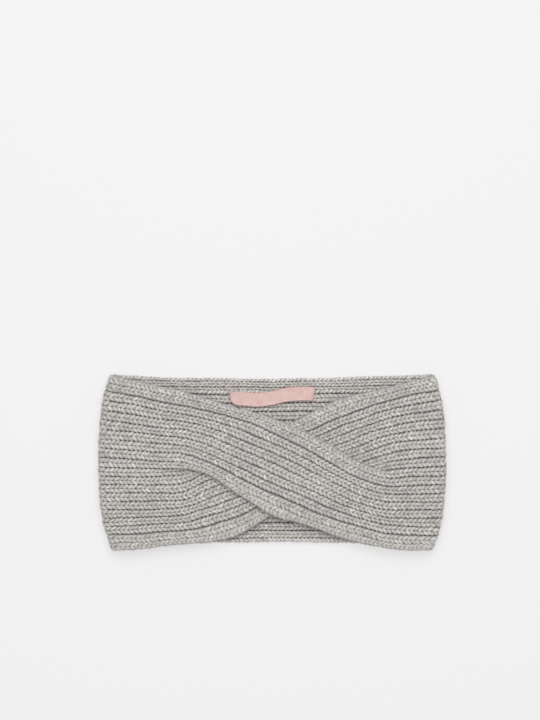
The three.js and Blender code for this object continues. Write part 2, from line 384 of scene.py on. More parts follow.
class Parts:
    """Collects the points, faces, UVs and attributes of one piece until its mesh is made."""

    def __init__(self):
        self.points, self.tones, self.shades = [], [], []
        self.faces, self.uvs = [], []
        self.count = 0

    def add(self, points, faces, uvs, tone, shade):
        """Adds points with their faces.

        tone and shade are a number for each point: how pale its stitch is, with painted light added on the
        inner face, and how near it is to a face of the wall, from 0 in the middle to 1. The shade sets the
        painted shade of the wool, which is darker the lower it is.
        """
        for face, uv in zip(faces, uvs):
            self.faces += (face + self.count).tolist()
            self.uvs.append(uv.reshape(-1, 2))
        self.points.append(points)
        self.tones.append(np.broadcast_to(tone, len(points)))
        self.shades.append(np.broadcast_to(shade, len(points)))
        self.count += len(points)

    def piece(self, name, material, shift=None):
        """The finished piece, in metres, smooth, with its attributes, riding on the one body."""
        points = np.concatenate(self.points)
        if shift:
            points = shift(points)
        mesh = bpy.data.meshes.new(name)
        mesh.from_pydata((points * MM).tolist(), [], self.faces)
        uv = mesh.uv_layers.new(name="yarn")
        uv.data.foreach_set("uv", np.concatenate(self.uvs).ravel())
        # The depth attribute carries the shade, from which the wool's colour is given painted shade
        for label, values in (("tone", self.tones), ("depth", self.shades)):
            layer = mesh.attributes.new(label, "FLOAT", "POINT")
            layer.data.foreach_set("value", np.concatenate(values))
        mesh.shade_smooth()
        mesh.materials.append(material)
        obj = new_object(name, mesh)
        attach(obj, "root")
        return obj


def lay_tubes(parts, wall, run, rib, path, reference, width, height, form, tone, shade=None):
    """Lays tubes on a wall: their paths are (along, across, depth) in millimetres from a place on the wall.

    Nothing reaches under the floor. A point's shade is its depth as a share of half the wall, or the shade
    that is given where that is more. The wool's colour is painted darker where it is low: painted shade for
    deep places.
    """
    stations, sides = form
    unit, skew, pitch = (m[:, None, None] for m in wall.metrics(run, rib))
    local = tube_points(path, reference, width, height, sides)
    ribs = local[..., 1] / pitch
    runs = (local[..., 0] - skew * ribs) / unit
    depth = local[..., 2]
    points = wall.point(run[:, None, None] + runs, rib[:, None, None] + ribs, depth)
    points[..., 2] = np.maximum(points[..., 2], 0)
    kept = tube_tips(len(stations), sides)
    faces, uvs = tube_faces(len(points), stations, sides)
    if wall.side < 0:
        faces, uvs = [f[:, ::-1] for f in faces], [uv[:, ::-1] for uv in uvs]
    # Painted shade: the deeper a point lies in the wall, the lower its shade and the darker its painted colour
    own = np.clip(np.abs(depth) / (WALL / 2), 0, 1)
    if shade is not None:
        own = np.maximum(own, shade[..., None])
    tones = np.repeat(tone, kept.sum())
    parts.add(points[:, kept].reshape(-1, 3), faces, uvs, tones, own[:, kept].ravel())


# The stitches. A leg is half of one: it starts low at the middle of its rib and ends low beside the groove.
USUAL_PITCH = 5.6  # from one rib to the next, where the legs have their full size
SIZE_LIMITS = (0.6, 1.1)  # the least and the greatest size of a leg, as a share of the full one
LEG_RUN = 3.75  # how far a leg runs along its rib, past the start of the next one
LEG_WIDTH = 1.02  # half the width of a leg, and half its thickness
LEG_HEIGHT = 0.8
LEG_TOP = 1.4  # depth of a leg's middle line at its highest
LEG_IN = 0.03  # where a leg starts and ends across its rib, in ribs from the rib's middle
LEG_OUT = 0.432
TUCK_IN = 0.8  # how far a leg goes down at its start and its end
TUCK_OUT = 1.1
INNER_PAINTED_LIGHT = 1.4  # how much paler the inner face is painted: painted light, so that it looks as lit in its recess as the outer face
FOLD_REACH = 0.03  # how much farther out a leg ends round a side fold, in ribs

# How uneven the stitches are: spreads in millimetres, and those of the length and the girth as shares
LEG_SPREAD = {"length": 0.08, "along": 0.2, "across": 0.09, "depth": 0.07, "girth": 0.08}
EDGE_SPREAD = {"across": 0.05, "depth": 0.05, "along": 0.12, "girth": 0.05}
PLUMP_STITCHES = 7  # over how many stitches a rib turns from plump to thin
PLUMP_REACH = 0.015  # how much farther out a plump leg ends, in ribs, and how much higher it lies
PLUMP_HEIGHT = 0.06

# Beside a free edge the legs fill the first groove, and the edge rib is closed in its middle
GROOVE_FILLING = 0.65  # how far the groove is filled, and how much that changes along it
GROOVE_CHANGE = 0.35
FILLED_REACH = 0.05  # how much farther out a leg ends at a filled groove, in ribs
FILLED_RISE = 0.5  # how much less deep it ends there, as a share
FILLED_GIRTH = 0.06  # how much thicker it is there, as a share
CLOSED_START = 0.8  # how much nearer to the middle of a closed rib its legs start, as a share
CLOSED_GIRTH = 0.06

# The rolled edges
ROLL_HEIGHT = 0.65  # half the thickness of an edge leg, which is drawn flat there
ROLL_TOP = 1.55  # depth of its middle line where it leaves the outer face
ROLL_TURN = np.radians(165)
ROLL_LAG = 0.35  # how much slower than evenly it starts to turn, as a share
ROLL_SHADE = 0.72  # the least shade of the roll, so that painted shade doesn't darken its side
EDGE_BREADTH = 0.15  # how much broader an edge leg is there, so that its neighbours close up, as a share
EDGE_SHIFT = 0.1  # how far the edge ribs are drawn out towards the edge, in ribs
SEAM_SHIFT = 0.15  # the same, in millimetres, where two walls of one knit meet

# Where the rings of a leg stand, from 0 at its start to 1 at its end, and how many sides it has
FINE_LEG = ((0, 0.07, 0.3, 0.6, 0.82, 0.94, 1), 6)
PLAIN_LEG = ((0, 0.09, 0.45, 0.84, 1), 5)
HIDDEN_LEG = ((0, 0.2, 0.8, 1), 5)
EDGE_LEG = ((0, 0.09, 0.24, 0.4, 0.56, 0.72, 0.88, 1), 7)


def wander(rng, wales, courses, reach):
    """A slow random wander along each rib: the mean of noise over reach stitches, with a spread of 1."""
    white = rng.normal(size=(wales, courses + reach))
    window = np.ones(reach) / np.sqrt(reach)
    return np.stack([np.convolve(row, window, mode="valid")[:courses] for row in white])


def spread_out(spreads, count, rng):
    """A random number for each stitch under each name: normal, with the spread of that name."""
    draws = rng.normal(size=(len(spreads), count, 1))
    return {name: size * draw for (name, size), draw in zip(spreads.items(), draws)}


def leg_girth(t, start=4, end=3):
    """Girth along a leg, as a share: the root of 1 less a power of the distance from its middle.

    It is full in the middle and nothing at the two tips. The power is start in the first half and end in the
    second, and a higher one is blunter.
    """
    return np.sqrt(np.maximum(0, 1 - np.abs(2 * t - 1) ** np.where(t < 0.5, start, end)))


def outward_share(t):
    """How far out a leg has come at t, from 0 to 1: the mean of an even run and of a smooth start and end."""
    return (t + smoothstep(t, 0, 1)) / 2


def leg_dip(t, tuck_in, tuck_out):
    """How far a leg lies under its highest point, by squares of how near t is to its two ends.

    It comes up out of the stitch before in its first half, and dives from 0.6 on.
    """
    return tuck_in * np.maximum(0, 1 - 2 * t) ** 2 + tuck_out * (np.maximum(0, t - 0.6) / 0.4) ** 2


def first_groove(run):
    """How far the first groove beside a free edge is filled. Uneven waves let it show here and there."""
    return GROOVE_FILLING + GROOVE_CHANGE * np.sin(run / 5.3 + 2 * np.sin(run / 11))


def stitch_legs(parts, wall, face, form, rng):
    """The legs of every stitch on one face, apart from the outermost ones of the outer face.

    A leg runs slantwise from the middle of its rib to the groove, on a low arch. Ribs of the inner face lie
    behind the grooves of the outer one, so its edge ribs have one leg only.
    """
    outer = face > 0
    wales = np.arange(wall.ribs) + 0.5 if outer else np.arange(wall.ribs + 1.0)
    runs = np.stack([wall.courses(rib) for rib in wales])
    courses = runs.shape[1]
    plump = wander(rng, len(wales), courses, PLUMP_STITCHES)
    t = np.array(form[0], float)
    for hand in (-1, 1):
        rows = slice(1, None) if hand < 0 else slice(0, -1)
        run, rib = runs[rows].ravel(), np.repeat(wales[rows], courses)
        count = len(run)
        edge = np.minimum(rib, wall.ribs - rib)
        towards = np.where(rib < wall.ribs / 2, -1, 1)
        loose = np.where(towards < 0, wall.loose[0](run), wall.loose[1](run))
        beside_first = np.floor(edge) == np.where(towards == hand, 1, 0)
        filled = (loose * beside_first * first_groove(run))[:, None]
        closed = (loose * (edge < 1))[:, None]
        rib = rib + towards * EDGE_SHIFT * loose * (edge < 2) * outer
        own = spread_out(LEG_SPREAD, count, rng)
        wave = plump[rows].reshape(-1, 1)
        lengthwise = wall.knitted * (t - 0.5) * LEG_RUN * (1 + own["length"]) + own["along"]
        start = LEG_IN * (1 - CLOSED_START * closed)
        end = LEG_OUT + FILLED_REACH * filled + PLUMP_REACH * wave + FOLD_REACH * folded(run)[:, None]
        pitch = wall.metrics(run, rib)[2][:, None]
        crosswise = hand * pitch * (start + (end - start) * outward_share(t)) + own["across"]
        full = np.clip(pitch / USUAL_PITCH, *SIZE_LIMITS)
        crest = LEG_TOP + LEG_HEIGHT * (1 - full) + own["depth"] + PLUMP_HEIGHT * wave
        depth = crest - leg_dip(t, TUCK_IN, TUCK_OUT * (1 - FILLED_RISE * filled))
        path = np.stack([lengthwise, crosswise, face * depth], -1)
        reference = np.broadcast_to([0, 0, float(face)], path.shape)
        thick = 1 + own["girth"] + FILLED_GIRTH * filled + CLOSED_GIRTH * closed
        girth = full * thick * leg_girth(t)
        # The inner face gets painted light: its stitches are painted paler
        tone = rng.normal(size=count) + (0 if outer else INNER_PAINTED_LIGHT)
        lay_tubes(parts, wall, run, rib, path, reference, LEG_WIDTH * girth, LEG_HEIGHT * girth, form, tone)


def edge_legs(parts, wall, high, rng):
    """The outermost leg of each stitch along one edge: it rolls round the edge where that is free.

    The roll is most of half an ellipse about the middle of the edge rib. Where the edge lies against the
    other strip, the leg is a plain one, and between the two it is a blend of both.
    """
    hand = 1 if high else -1
    rib = wall.ribs - 0.5 if high else 0.5
    run = wall.courses(rib)
    count = len(run)
    loose = wall.loose[high](run)
    rib = rib + hand * EDGE_SHIFT * loose
    pitch = wall.metrics(run, rib)[2][:, None]
    to_edge = (0.5 - EDGE_SHIFT * loose)[:, None] * pitch
    loose = loose[:, None]
    t = np.array(EDGE_LEG[0])
    own = spread_out(EDGE_SPREAD, count, rng)
    turn = ROLL_TURN * t * (1 - ROLL_LAG + ROLL_LAG * t)
    rolled = (to_edge - ROLL_HEIGHT) * np.sin(turn)
    plain = pitch * (LEG_IN + (LEG_OUT - LEG_IN) * outward_share(t)) + SEAM_SHIFT
    crosswise = hand * (plain * (1 - loose) + rolled * loose) + own["across"]
    plain_depth = LEG_TOP - leg_dip(t, TUCK_IN, TUCK_OUT)
    rolled_depth = (ROLL_TOP - leg_dip(t, TUCK_IN / 2, 0)) * np.cos(turn)
    depth = plain_depth * (1 - loose) + rolled_depth * loose + own["depth"]
    lengthwise = wall.knitted * (t - 0.5) * LEG_RUN + own["along"]
    path = np.stack([lengthwise, crosswise, depth], -1)
    lean = turn * loose
    reference = np.stack([np.zeros_like(lean), hand * np.sin(lean), np.cos(lean)], -1)
    girth = (1 + own["girth"]) * leg_girth(t)
    width = LEG_WIDTH * (1 + EDGE_BREADTH * loose) * girth
    height = (LEG_HEIGHT * (1 - loose) + ROLL_HEIGHT * loose) * girth
    tone = rng.normal(size=count)
    # The roll is kept out of most of the painted shade
    shade = ROLL_SHADE * loose * np.ones_like(t)
    lay_tubes(parts, wall, run, rib, path, reference, width, height, EDGE_LEG, tone, shade)


# The inside of the wall, called the core, that the stitches lie on
CORE_TOP = 1.5  # depth of its ribs, under the crests of the stitches
CORE_PLACES = (0, 0.06, 0.14, 0.42, 0.5, 0.58, 0.86, 0.94)  # across a rib from its groove, in ribs
CORE_DEPTHS = (0.0, 0.4, 1.45, CORE_TOP, 0.3, CORE_TOP, 1.45, 0.4)  # the depth at each of these
FILLED_GROOVE = 1.0  # depth of the first groove beside a free edge
FOLDED_GROOVE = 1.3  # how far every groove rises round the side folds, where the knit is stretched
GROOVE_UNEVEN = 0.2  # how far the grooves rise and sink along the band
EDGE_FULLNESS = 0.12  # how much thicker it is beside a free edge, as a share
FULL_RIBS = (0.8, 1.6)  # how far from the edge that starts to fade, and ends, in ribs
CORE_EDGE = 0.22  # how far a free edge of it stays inside the legs that roll over it, in millimetres
CORE_LAP = 0.04  # how far it reaches over where it meets another wall, in ribs
CORE_END = 0.25  # how far its ends pass the middle of the side folds
CORE_SHADE = 0.85  # its shade, as a share of that of a leg at the same depth, so that its painted shade is deeper
FOLD_RINGS = 5
SAME_PLACE = 0.05  # two places nearer than this, in ribs, are one


def core_edge(wall, run, face, high, rib, depth):
    """Ribs and depths of a face of the core, with one of its edges shaped.

    Near a free edge the first groove is filled, and the face turns round the edge by a quarter of an ellipse.
    Where the wall meets another one, the face laps over a little.
    """
    edge, inwards = (wall.ribs, -1) if high else (0, 1)
    pitch = wall.metrics(run, np.full_like(run, edge + inwards * 0.5))[2]
    free = wall.loose[high](run)
    from_edge = np.abs(rib - edge)
    first = np.abs(from_edge - (1 if face > 0 else 0.5)) < SAME_PLACE
    groove = FILLED_GROOVE * free * first_groove(run)
    depth = np.where(first, face * np.maximum(face * depth, groove), depth)
    depth = depth * (1 + EDGE_FULLNESS * free * (1 - smoothstep(from_edge, *FULL_RIBS)))
    roll = 0.5 - EDGE_SHIFT
    turned = np.pi / 2 * np.maximum(0, 1 - from_edge / roll)
    inside = roll * pitch - (roll * pitch - CORE_EDGE) * np.sin(turned)
    rolled = np.where(from_edge < roll, free, 0)
    lapped = rib - inwards * np.maximum(0, 1 - 2 * from_edge) * CORE_LAP * (1 - free)
    rib = lapped * (1 - rolled) + (edge + inwards * inside / pitch) * rolled
    top = face * CORE_TOP * (1 + EDGE_FULLNESS)
    return rib, depth * (1 - rolled) + top * np.cos(turned) * rolled


def core_face(wall, run, face):
    """Ribs and depths of one face of the core. The ribs of the inner face lie behind the grooves."""
    marks = len(CORE_PLACES)
    half = 0 if face > 0 else marks // 2
    index = np.arange(marks * wall.ribs + 1) + half
    rib = index // marks + np.take(CORE_PLACES, index % marks) - half / marks
    rib = np.broadcast_to(rib, (len(run), len(rib))).copy()
    depth = np.broadcast_to(np.take(CORE_DEPTHS, index % marks), rib.shape)
    swell = GROOVE_UNEVEN * np.sin(run / 6.1 + 2.4 * rib) * np.sin(run / 17 + rib)
    loosened = swell + FOLDED_GROOVE * folded(run)
    depth = face * np.where(index % marks == 0, depth + loosened, depth)
    if face < 0:
        depth[:, [0, -1]] = -CORE_TOP
    for high in (False, True):
        rib, depth = core_edge(wall, run, face, high, rib, depth)
    return rib, depth


def core(parts, wall, steps):
    """The closed core: two ribbed faces carried along the band, joined at its edges and its ends."""
    fold = np.linspace(FOLD_START, RUN_END + CORE_END, FOLD_RINGS)
    flat = np.linspace(-FOLD_START, FOLD_START, steps)[1:-1]
    run = np.concatenate([-fold[::-1], flat, fold])[:, None]
    outer, inner = core_face(wall, run, 1), core_face(wall, run, -1)
    rib, depth = (np.concatenate([a, b[:, ::-1]], 1) for a, b in zip(outer, inner))
    points = wall.point(np.broadcast_to(run, rib.shape), rib, depth)
    points[..., 2] = np.maximum(points[..., 2], 0)
    rings, size = rib.shape
    u, v = np.broadcast_to(run, rib.shape) / LEG_RUN, rib
    next_u, next_v = np.roll(u, -1, 1), np.roll(v, -1, 1)
    uv = corner_uv((u[:-1], v[:-1]), (u[1:], v[1:]), (next_u[1:], next_v[1:]), (next_u[:-1], next_v[:-1]))
    near = np.arange(size // 2 - 1)
    cap = np.stack([near, near + 1, size - 2 - near, size - 1 - near], -1)
    caps = np.concatenate([cap, cap[:, ::-1] + (rings - 1) * size])
    faces = [ring_quads(rings, size), caps]
    if wall.side < 0:
        faces = [f[:, ::-1] for f in faces]
        uv = uv[..., ::-1, :]
    # Painted shade: the core is painted darker the deeper it lies, so grooves, pits and gaps between legs look
    # shaded
    outwards = np.where(np.arange(size) < size // 2, 1, -1)
    shade = np.clip(outwards * depth / (WALL / 2) * CORE_SHADE, 0, 1)
    parts.add(points.reshape(-1, 3), faces, [uv, np.zeros((len(caps), 4, 2))], 0, shade.ravel())


# Loose fibres: where the rings of one stand, how many sides it has, and its radius at each ring
FIBRE = ((0, 0.25, 0.5, 0.75, 1), 3)
FIBRE_GIRTH = (0, 0.03, 0.028, 0.024, 0)
FIBRE_LENGTH = (1.2, 3.6)
FIBRE_BEND = 1.0  # spread of how far one turns in plan, in radians
FIBRE_TONE = 1.2  # how much paler they are than the yarn
FIBRE_UP = (0.1, 0.2, 1.0)  # which way the rings of one face, a little aslant of upright
FIBRE_ARCH = 0.8  # how much of the arch of a sine one follows
FACE_MARGIN = 0.05  # how near to an edge they leave a face, in ribs
FACE_START = 1.7  # depth at which they leave the faces, and how much higher they end
FACE_CLIMB = 0.3
FACE_RISE = 1.2  # how high they arch over that at most, and the root of the least share of it
FACE_LEAST = 0.15
EDGE_START = -0.3  # how far out they leave a free edge, and between which depths
EDGE_DEPTHS = (-0.8, 0.8)
EDGE_CLIMB = 0.3  # how far they go up and down there, as a share of how far they would go in plan
EDGE_RISE = 1.1
EDGE_LEAST = 0.1
EDGE_FIBRES = 700  # how many each long edge would have if it were free all along


def curl(count, rng):
    """Plan of loose fibres from where they leave the yarn: short lines whose direction turns evenly."""
    t = np.array(FIBRE[0], float)
    angle = rng.uniform(0, 2 * np.pi, (count, 1)) + rng.normal(0, FIBRE_BEND, (count, 1)) * t
    length = rng.uniform(*FIBRE_LENGTH, (count, 1))
    return t, length * np.cos(angle) * t, length * np.sin(angle) * t


def arch(t, highest, least, rng, count):
    """How far fibres stand off at t: by a sine that comes most of the way back. The squares keep most low."""
    rise = highest * rng.uniform(least, 1, (count, 1)) ** 2
    return rise * np.sin(FIBRE_ARCH * np.pi * t)


def lay_fibres(parts, wall, run, rib, path, rng):
    """Lays loose fibres on a wall. They are a little paler than the yarn."""
    count = len(run)
    reference = np.broadcast_to(FIBRE_UP, path.shape)
    girth = np.array(FIBRE_GIRTH) * np.ones((count, 1))
    tone = rng.normal(size=count) + FIBRE_TONE
    lay_tubes(parts, wall, run, rib, path, reference, girth, girth, FIBRE, tone, np.ones_like(girth))


def loose_fibres(parts, wall, face, count, rng):
    """Loose fibres: thin three-sided hairs that leave the yarn at random places and curl back over it."""
    run = rng.uniform(-RUN_END, RUN_END, count)
    rib = rng.uniform(FACE_MARGIN, wall.ribs - FACE_MARGIN, count)
    t, lengthwise, crosswise = curl(count, rng)
    depth = face * (FACE_START + arch(t, FACE_RISE, FACE_LEAST, rng, count) + FACE_CLIMB * t)
    lay_fibres(parts, wall, run, rib, np.stack([lengthwise, crosswise, depth], -1), rng)


def edge_fibres(parts, wall, high, count, rng):
    """Loose fibres along one edge where it is free. They stand out from its roll by up to a millimetre."""
    run = rng.uniform(-RUN_END, RUN_END, count)
    run = run[wall.loose[high](run) > 0.5]
    count = len(run)
    rib = np.full(count, wall.ribs if high else 0.0)
    t, lengthwise, upwards = curl(count, rng)
    crosswise = (1 if high else -1) * (arch(t, EDGE_RISE, EDGE_LEAST, rng, count) + EDGE_START)
    depth = rng.uniform(*EDGE_DEPTHS, (count, 1)) + EDGE_CLIMB * upwards
    lay_fibres(parts, wall, run, rib, np.stack([lengthwise, crosswise, depth], -1), rng)


def group(name, inputs, output, kind):
    """An empty shader node group with named inputs and one output, and its input and output nodes."""
    tree = bpy.data.node_groups.new(name, "ShaderNodeTree")
    for label, value in inputs.items():
        socket_kind = "NodeSocketColor" if isinstance(value, tuple) else "NodeSocketFloat"
        tree.interface.new_socket(name=label, in_out="INPUT", socket_type=socket_kind).default_value = value
    tree.interface.new_socket(name=output, in_out="OUTPUT", socket_type=kind)
    return tree, tree.nodes.new("NodeGroupInput").outputs, tree.nodes.new("NodeGroupOutput").inputs


def node(tree, kind, inputs, **settings):
    """A node of a tree with its settings. Inputs given a socket are linked to it, and the others are set."""
    made = tree.nodes.new(kind)
    for key, value in settings.items():
        setattr(made, key, value)
    for key, value in inputs.items():
        if isinstance(value, bpy.types.NodeSocket):
            tree.links.new(value, made.inputs[key])
        else:
            made.inputs[key].default_value = value
    return made


def maths(tree, operation, *values, clamp=False):
    """The output of a Math node."""
    inputs = dict(enumerate(values))
    return node(tree, "ShaderNodeMath", inputs, operation=operation, use_clamp=clamp).outputs[0]


def above(tree, value, start, steepness, clamp=False):
    """How far a value lies above start, times steepness."""
    return maths(tree, "MULTIPLY", maths(tree, "SUBTRACT", value, start), steepness, clamp=clamp)


def mixed(tree, share, first, second):
    """One colour mixed into another."""
    return node(tree, "ShaderNodeMix", {0: share, 6: first, 7: second}, data_type="RGBA").outputs[2]


def noise(tree, vector, scale, detail):
    """Cloudy noise about 0.5, with scale clouds to a unit of the vector."""
    return node(tree, "ShaderNodeTexNoise", {"Vector": vector, "Scale": scale, "Detail": detail}).outputs[0]


def attribute(tree, name):
    """A number that the mesh gives for each of its points."""
    return node(tree, "ShaderNodeAttribute", {}, attribute_name=name).outputs["Fac"]


# How the fibres lie in the yarn. A leg's UV runs from 0 to 1 along it, and from 0 to 1 round it.
GRAIN_LENGTH = 4.5  # changes of tone along a leg, and round it
GRAIN_ROUND = 11.0
GRAIN_WIND = 2.5  # how far they wind round it along a leg
GRAIN_OWN = 13.0  # how far apart in the noise two legs lie whose tones are 1 apart
PLY_WIND = 1.6  # how many plies a straight line along a leg crosses
FLECK_STEEPNESS = 5.0  # how sharply the pale and the dark fibres stand out
PALE_FROM = 0.5  # the noise makes a pale fibre above this, and a dark one below the next value
DARK_FROM = 0.45
CLOUDS_PER_METRE = 850.0
WEAR_PER_MM = 2.5  # clouds of wear in the ribbon's weave


def yarn_grain(tree):
    """Noise drawn out along the yarn, which winds round it a little, and differs from one leg to the next."""
    uv = node(tree, "ShaderNodeTexCoord", {}).outputs["UV"]
    split = node(tree, "ShaderNodeSeparateXYZ", {0: uv}).outputs
    turned = maths(tree, "MULTIPLY", split["Y"], GRAIN_ROUND)
    round_it = maths(tree, "MULTIPLY_ADD", split["X"], GRAIN_WIND, turned)
    own = maths(tree, "MULTIPLY", attribute(tree, "tone"), GRAIN_OWN)
    length = maths(tree, "MULTIPLY", split["X"], GRAIN_LENGTH)
    place = node(tree, "ShaderNodeCombineXYZ", {"X": length, "Y": round_it, "Z": own}).outputs[0]
    return noise(tree, place, 1.0, 3.0), split


def heather_group():
    """Colour of carded wool: pale and dark fibres, cloudy patches, and a tone for each stitch.

    It has painted shade: its colour darkens with how far a point is from the faces of the wall, for the shade
    in grooves, pits and gaps between legs.
    """
    tree, given, result = group(
        "heather_wool_painted_shade",
        {"Base": (0.5, 0.5, 0.5, 1), "Pale": (0.7, 0.7, 0.7, 1), "Dark": (0.2, 0.2, 0.2, 1), "Fibres": 0.5,
         "Clouds": 0.2, "Tone": 0.05, "Depth": 0.5},
        "Color", "NodeSocketColor")
    place = node(tree, "ShaderNodeTexCoord", {}).outputs["Object"]
    grain, _ = yarn_grain(tree)
    pale = above(tree, grain, PALE_FROM, FLECK_STEEPNESS)
    pale = maths(tree, "MULTIPLY", pale, given["Fibres"], clamp=True)
    dark = above(tree, DARK_FROM, grain, FLECK_STEEPNESS)
    dark = maths(tree, "MULTIPLY", dark, given["Fibres"], clamp=True)
    colour = mixed(tree, dark, mixed(tree, pale, given["Base"], given["Pale"]), given["Dark"])
    cloud = maths(tree, "SUBTRACT", noise(tree, place, CLOUDS_PER_METRE, 3.0), 0.5)
    level = maths(tree, "MULTIPLY_ADD", cloud, given["Clouds"], 1.0)
    level = maths(tree, "MULTIPLY_ADD", attribute(tree, "tone"), given["Tone"], level)
    # Painted shade: colour darkened by the shade that the mesh carries, scaled by the group's input for it
    sunk = maths(tree, "SUBTRACT", 1.0, attribute(tree, "depth"), clamp=True)
    darker = maths(tree, "MULTIPLY", sunk, given["Depth"])
    level = maths(tree, "MULTIPLY", level, maths(tree, "SUBTRACT", 1.0, darker))
    scaled = node(tree, "ShaderNodeVectorMath", {0: colour, "Scale": level}, operation="SCALE")
    tree.links.new(scaled.outputs[0], result["Color"])
    return tree


def yarn_group():
    """Relief of spun yarn: plies that wind round each leg by its UV, and the fibres in them."""
    tree, given, result = group("spun_yarn", {"Plies": 3.0, "Ply depth": 0.5, "Fibres": 0.5}, "Height",
                                "NodeSocketFloat")
    grain, split = yarn_grain(tree)
    wound = maths(tree, "MULTIPLY", split["X"], PLY_WIND)
    phase = maths(tree, "MULTIPLY_ADD", split["Y"], given["Plies"], wound)
    ply = maths(tree, "ABSOLUTE", maths(tree, "SINE", maths(tree, "MULTIPLY", phase, float(np.pi))))
    height = maths(tree, "MULTIPLY", ply, given["Ply depth"])
    tree.links.new(maths(tree, "MULTIPLY_ADD", grain, given["Fibres"], height), result["Height"])
    return tree


def weave_group():
    """Relief of a close plain weave: two sets of threads across each other, by UV in millimetres."""
    tree, given, result = group("ribbon_weave", {"Threads per mm": 3.0, "Unevenness": 0.3}, "Height",
                                "NodeSocketFloat")
    uv = node(tree, "ShaderNodeTexCoord", {}).outputs["UV"]
    split = node(tree, "ShaderNodeSeparateXYZ", {0: uv}).outputs
    turns = maths(tree, "MULTIPLY", given["Threads per mm"], 2 * float(np.pi))
    warp = maths(tree, "SINE", maths(tree, "MULTIPLY", split["Y"], turns))
    weft = maths(tree, "SINE", maths(tree, "MULTIPLY", split["X"], turns))
    worn = maths(tree, "MULTIPLY", noise(tree, uv, WEAR_PER_MM, 3.0), given["Unevenness"])
    tree.links.new(maths(tree, "MULTIPLY_ADD", warp, weft, worn), result["Height"])
    return tree


HEATHER = heather_group()
YARN = yarn_group()
WEAVE = weave_group()


def place_group(tree, made, **values):
    """Places a node group in a material with its own values, and gives its output."""
    placed = tree.nodes.new("ShaderNodeGroup")
    placed.node_tree = made
    for key, value in values.items():
        placed.inputs[key.replace("_", " ")].default_value = value
    return placed.outputs[0]


def new_material(name, roughness, **constants):
    """A material whose shader has its constants set, with its node tree and shader."""
    material = bpy.data.materials.new(name)
    material.use_nodes = True
    tree = material.node_tree
    shader = tree.nodes["Principled BSDF"]
    shader.inputs["Roughness"].default_value = roughness
    for key, value in constants.items():
        shader.inputs[key.replace("_", " ")].default_value = value
    return material, tree, shader


def finish_shader(tree, shader, colour, relief, strength, distance):
    """Links a colour and a relief to the shader. distance is the height of the relief, in metres."""
    inputs = {"Height": relief, "Strength": strength, "Distance": distance}
    bump = node(tree, "ShaderNodeBump", inputs).outputs[0]
    tree.links.new(colour, shader.inputs["Base Color"])
    tree.links.new(bump, shader.inputs["Normal"])


def wool():
    """Light grey carded wool: heathered colour with painted shade in the knit's hollows, plies and fibres in
    relief, and the sheen of its nap.
    """
    material, tree, shader = new_material("grey_heather_wool", 0.92, Specular_IOR_Level=0.2,
                                          Sheen_Weight=0.3, Sheen_Roughness=0.5)
    # The heather colour carries painted shade, which takes away up to 0.85 of it at the deepest places
    colour = place_group(tree, HEATHER, Base=(0.632, 0.601, 0.573, 1), Pale=(0.85, 0.82, 0.785, 1),
                         Dark=(0.275, 0.255, 0.235, 1), Fibres=0.85, Clouds=0.45, Tone=0.065, Depth=0.85)
    relief = place_group(tree, YARN, Plies=3.0, Ply_depth=0.5, Fibres=1.0)
    finish_shader(tree, shader, colour, relief, strength=0.6, distance=0.00025)
    return material


# The ribbon's colours, and where they change. Its UV is in millimetres, along it and from its middle line.
RIBBON_DARK = (0.583, 0.379, 0.35, 1)
RIBBON_PALE = (0.836, 0.607, 0.569, 1)
# Colour of the painted shade at its edges and folded ends
RIBBON_PAINTED_SHADE = (0.52, 0.31, 0.285, 1)
PATCHES_PER_MM = 0.22
PATCH_SPAN = 0.9  # how much of the way from dark to pale the patches go, and where they start
PATCH_START = -0.05
THREAD_SHADE = 0.25  # how much paler the tops of the threads are painted, and darker between them: painted shade of the weave
RIM_FROM = 4.15  # where painted shade along the long edges starts, and how fast it grows
RIM_STEEPNESS = 3.0
HEM_MIDDLE = 31.0  # half-way along it, how far from there painted shade at the folded ends starts, and how fast
HEM_FROM = 24.6
HEM_STEEPNESS = 0.3


def ribbon():
    """Dull pink woven ribbon: threads in relief with painted shade between them, painted shade along its edges
    and at its folded ends, and a slight sheen.
    """
    material, tree, shader = new_material("pink_ribbon", 0.55, Specular_IOR_Level=0.3, Sheen_Weight=0.2)
    weave = place_group(tree, WEAVE, Threads_per_mm=2.6, Unevenness=0.5)
    uv = node(tree, "ShaderNodeTexCoord", {}).outputs["UV"]
    patches = maths(tree, "MULTIPLY_ADD", noise(tree, uv, PATCHES_PER_MM, 4.0), PATCH_SPAN, PATCH_START)
    # Painted shade of the weave, added to slow patches of uneven colour
    share = maths(tree, "MULTIPLY_ADD", weave, THREAD_SHADE, patches, clamp=True)
    woven = mixed(tree, share, RIBBON_DARK, RIBBON_PALE)
    place = node(tree, "ShaderNodeSeparateXYZ", {0: uv}).outputs
    # Painted shade along the long edges and near the folded ends
    rim_shade = above(tree, maths(tree, "ABSOLUTE", place["Y"]), RIM_FROM, RIM_STEEPNESS, clamp=True)
    from_middle = maths(tree, "ABSOLUTE", maths(tree, "SUBTRACT", place["X"], HEM_MIDDLE))
    hem_shade = above(tree, from_middle, HEM_FROM, HEM_STEEPNESS, clamp=True)
    colour = mixed(tree, maths(tree, "MAXIMUM", rim_shade, hem_shade), woven, RIBBON_PAINTED_SHADE)
    finish_shader(tree, shader, colour, weave, strength=0.5, distance=0.00006)
    return material


WOOL = wool()
RIBBON = ribbon()


